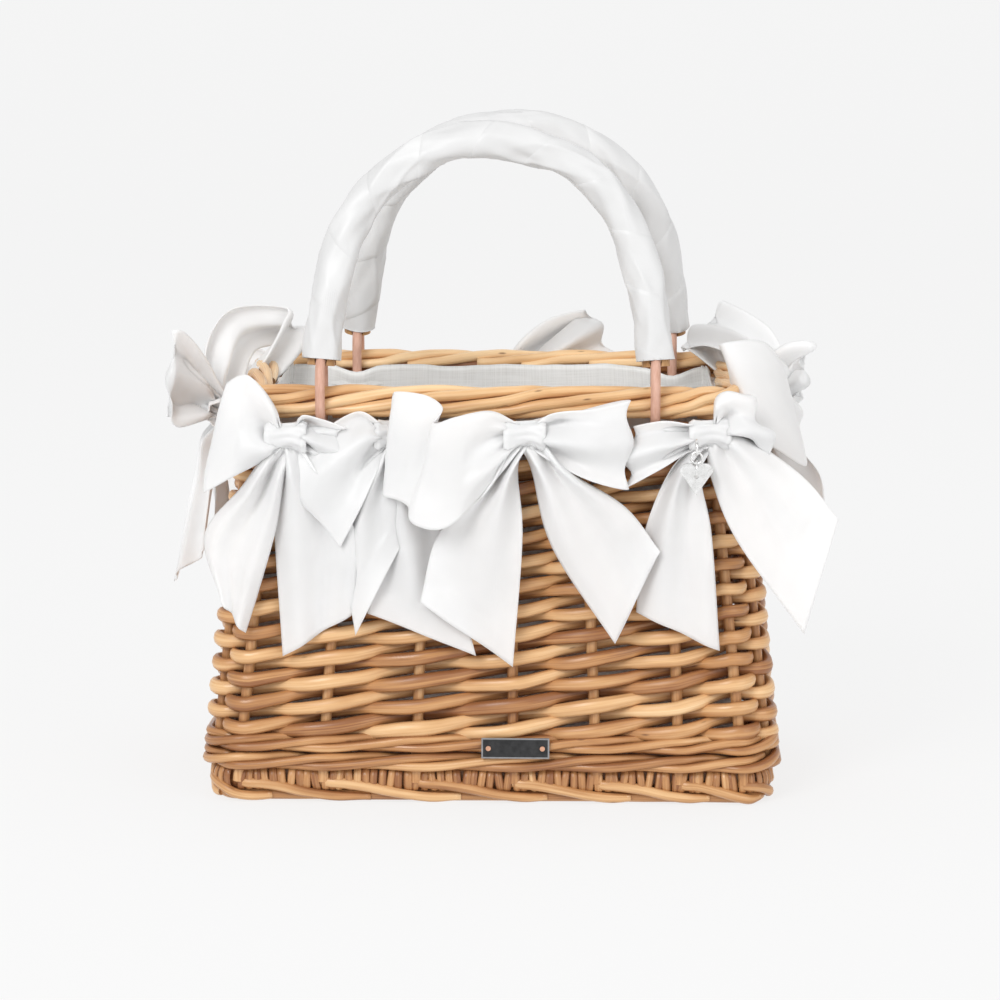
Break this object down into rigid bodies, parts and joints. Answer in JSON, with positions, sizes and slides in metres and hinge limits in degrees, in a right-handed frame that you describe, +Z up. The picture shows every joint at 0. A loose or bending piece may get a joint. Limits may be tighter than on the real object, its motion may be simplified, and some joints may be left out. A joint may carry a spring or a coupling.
{
  "type": "flower girl basket",
  "caption": "Rectangular woven willow basket, tapered to the rim, with two ring-hinged satin-wrapped handles, satin ribbon bows round the rim, a cloth lining and a small heart charm.",
  "frame": {"origin": "centre of the foot border's underside, on the ground", "axes": "+X along the basket's long side to the right of a viewer facing the label plate, +Y to the back, +Z up"},
  "size_m": [0.2893, 0.1664, 0.2954],
  "materials": {
    "willow": "satin",
    "ring_cane": "satin",
    "handle_cane": "matte",
    "satin": "satin",
    "linen": "matte",
    "silver_metal": "polished",
    "black_enamel": "gloss",
    "copper": "polished"
  },
  "bodies": {
    "basket": {"foot_border": "willow", "base_weave": "willow", "base_sticks": "willow", "lower_wale": "willow", "upper_wale": "willow", "wall_weave": "willow", "rim_border": "willow", "front_stakes": "willow", "back_stakes": "willow", "left_stakes": "willow", "right_stakes": "willow", "lining": "linen", "front_bow_left": "satin", "front_bow_middle_left": "satin", "front_bow_middle": "satin", "front_bow_right": "satin", "left_bow": "satin", "right_bow": "satin", "back_bow_left": "satin", "back_bow_middle": "satin", "back_bow_right": "satin", "label_plate": "silver_metal", "label_face": "black_enamel", "label_rivets": "copper"},
    "front_rings": {"front_left_ring": "ring_cane", "front_right_ring": "ring_cane"},
    "front_handle": {"front_handle_core": "handle_cane", "front_handle_wrap": "satin"},
    "back_rings": {"back_left_ring": "ring_cane", "back_right_ring": "ring_cane"},
    "back_handle": {"back_handle_core": "handle_cane", "back_handle_wrap": "satin"},
    "charm": {"charm_ring": "silver_metal", "charm_chain": "silver_metal", "heart_charm": "silver_metal"}
  },
  "joints": [
    {"name": "front_ring_swing", "type": "hinge", "parent": "basket", "child": "front_rings", "pos_m": [0, -0.0515, 0.176], "axis": [1, 0, 0], "range_deg": [0, 45]},
    {"name": "front_handle_swing", "type": "hinge", "parent": "front_rings", "child": "front_handle", "pos_m": [0, -0.0515, 0.185], "axis": [1, 0, 0], "range_deg": [-13, 55]},
    {"name": "back_ring_swing", "type": "hinge", "parent": "basket", "child": "back_rings", "pos_m": [0, 0.0515, 0.176], "axis": [-1, 0, 0], "range_deg": [0, 45]},
    {"name": "back_handle_swing", "type": "hinge", "parent": "back_rings", "child": "back_handle", "pos_m": [0, 0.0515, 0.185], "axis": [-1, 0, 0], "range_deg": [-13, 55]},
    {"name": "charm_swing", "type": "hinge", "parent": "basket", "child": "charm", "pos_m": [0.088, -0.082, 0.165], "axis": [0, 1, 0], "range_deg": [-25, 25]}
  ]
}
